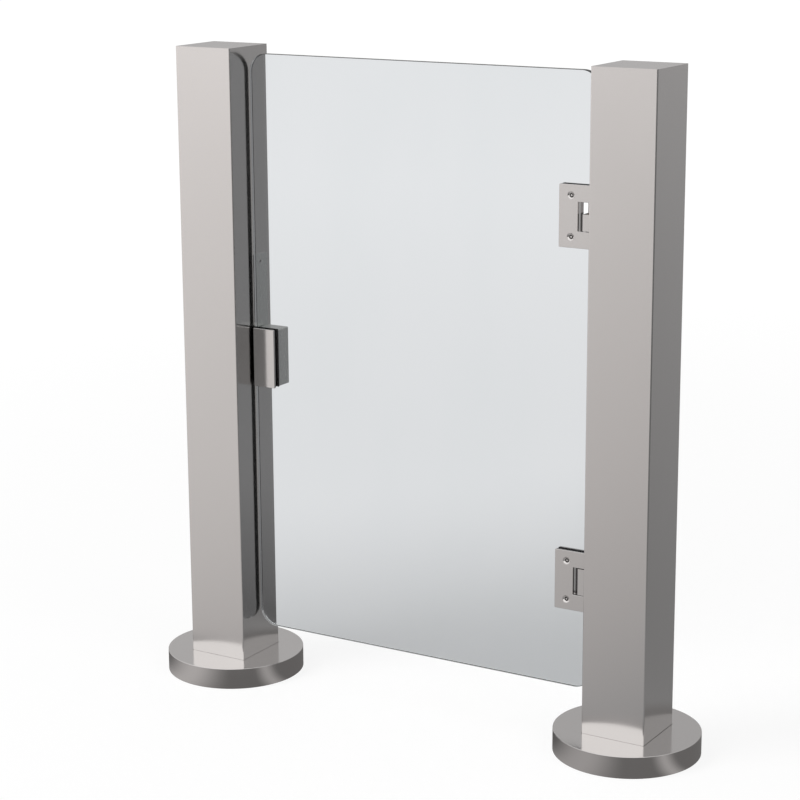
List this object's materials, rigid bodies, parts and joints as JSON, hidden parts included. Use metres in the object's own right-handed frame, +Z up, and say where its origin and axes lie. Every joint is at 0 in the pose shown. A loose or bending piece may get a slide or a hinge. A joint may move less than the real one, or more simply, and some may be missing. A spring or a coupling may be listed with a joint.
{
  "type": "glass swing barrier",
  "caption": "Waist-high swing gate for a walkway: a clear glass leaf on clamp hinges between square steel posts on round floor flanges, with a thumb-turn lock on the free edge.",
  "frame": {"origin": "on the floor, midway between the two posts, in the plane of the glass", "axes": "+X towards the hinge post, +Y towards the back of the barrier where the thumb turn is, +Z up"},
  "size_m": [0.918, 0.218, 1],
  "materials": {
    "post_steel": "polished stainless steel, close to a mirror",
    "cover_steel": "polished stainless steel sheet",
    "base_steel": "dull steel plate",
    "strike_steel": "polished stainless steel",
    "screw_steel": "stainless steel, turned",
    "hinge_steel": "polished stainless steel",
    "pin_steel": "ground steel",
    "bush_bronze": "bearing bronze, oiled",
    "spring_steel": "drawn spring wire",
    "leaf_glass": "clear toughened glass, polished edges",
    "gasket_rubber": "smooth black rubber sheet",
    "washer_plastic": "plain bearing plastic",
    "lock_steel": "polished stainless steel",
    "bolt_steel": "milled steel"
  },
  "bodies": {
    "frame": {"latch_post": "post_steel", "latch_post_cap": "post_steel", "latch_base_plate": "base_steel", "hinge_post": "post_steel", "hinge_post_cap": "post_steel", "hinge_base_plate": "base_steel", "strike_plate": "strike_steel", "strike_screws": "screw_steel", "strike_box": "base_steel", "strike_tapped_bar": "base_steel", "upper_wall_plate": "hinge_steel", "upper_wall_screws": "screw_steel", "upper_tapped_plate": "base_steel", "upper_knuckle_bush": "bush_bronze", "lower_wall_plate": "hinge_steel", "lower_wall_screws": "screw_steel", "lower_tapped_plate": "base_steel", "lower_knuckle_bush": "bush_bronze", "lower_spring_bush": "bush_bronze", "lower_return_spring": "spring_steel"},
    "latch_cover": {"latch_flange_cover": "cover_steel"},
    "hinge_cover": {"hinge_flange_cover": "cover_steel"},
    "gate": {"glass_panel": "leaf_glass", "upper_front_clamp": "hinge_steel", "upper_back_clamp": "hinge_steel", "upper_front_gasket": "gasket_rubber", "upper_back_gasket": "gasket_rubber", "upper_clamp_screws": "screw_steel", "upper_pivot_pin": "pin_steel", "upper_thrust_washer": "washer_plastic", "lower_front_clamp": "hinge_steel", "lower_back_clamp": "hinge_steel", "lower_front_gasket": "gasket_rubber", "lower_back_gasket": "gasket_rubber", "lower_clamp_screws": "screw_steel", "lower_pivot_pin": "pin_steel", "lower_thrust_washers": "washer_plastic", "lock_front_plate": "lock_steel", "lock_front_gasket": "gasket_rubber", "lock_back_gasket": "gasket_rubber", "lock_case": "lock_steel", "lock_lid": "lock_steel", "lock_case_screws": "screw_steel", "lock_lid_screws": "screw_steel", "lock_rose": "lock_steel", "spindle_friction_washer": "spring_steel"},
    "turn": {"bolt_spindle": "bolt_steel", "thumb_turn": "lock_steel", "thumb_turn_screw": "screw_steel"},
    "bolt": {"lock_bolt": "bolt_steel"}
  },
  "joints": [
    {"name": "gate_hinge", "type": "hinge", "parent": "frame", "child": "gate", "pos_m": [0.278, 0, 0.5165], "axis": [0, 0, 1], "range_deg": [-90, 90], "stiffness_Nm_per_rad": 0.7},
    {"name": "turn_hinge", "type": "hinge", "parent": "gate", "child": "turn", "pos_m": [-0.277, 0.0205, 0.521], "axis": [0, -1, 0], "range_deg": [0, 90]},
    {"name": "bolt_slide", "type": "slide", "parent": "gate", "child": "bolt", "axis": [-1, 0, 0], "range_m": [0, 0.011]},
    {"name": "latch_cover_lift", "type": "slide", "parent": "frame", "child": "latch_cover", "axis": [0, 0, 1], "range_m": [0, 0.045]},
    {"name": "hinge_cover_lift", "type": "slide", "parent": "frame", "child": "hinge_cover", "axis": [0, 0, 1], "range_m": [0, 0.045]}
  ],
  "couplings": [
    {"joint": "bolt_slide", "follows": "turn_hinge", "m_per_rad": 0.0070028}
  ]
}
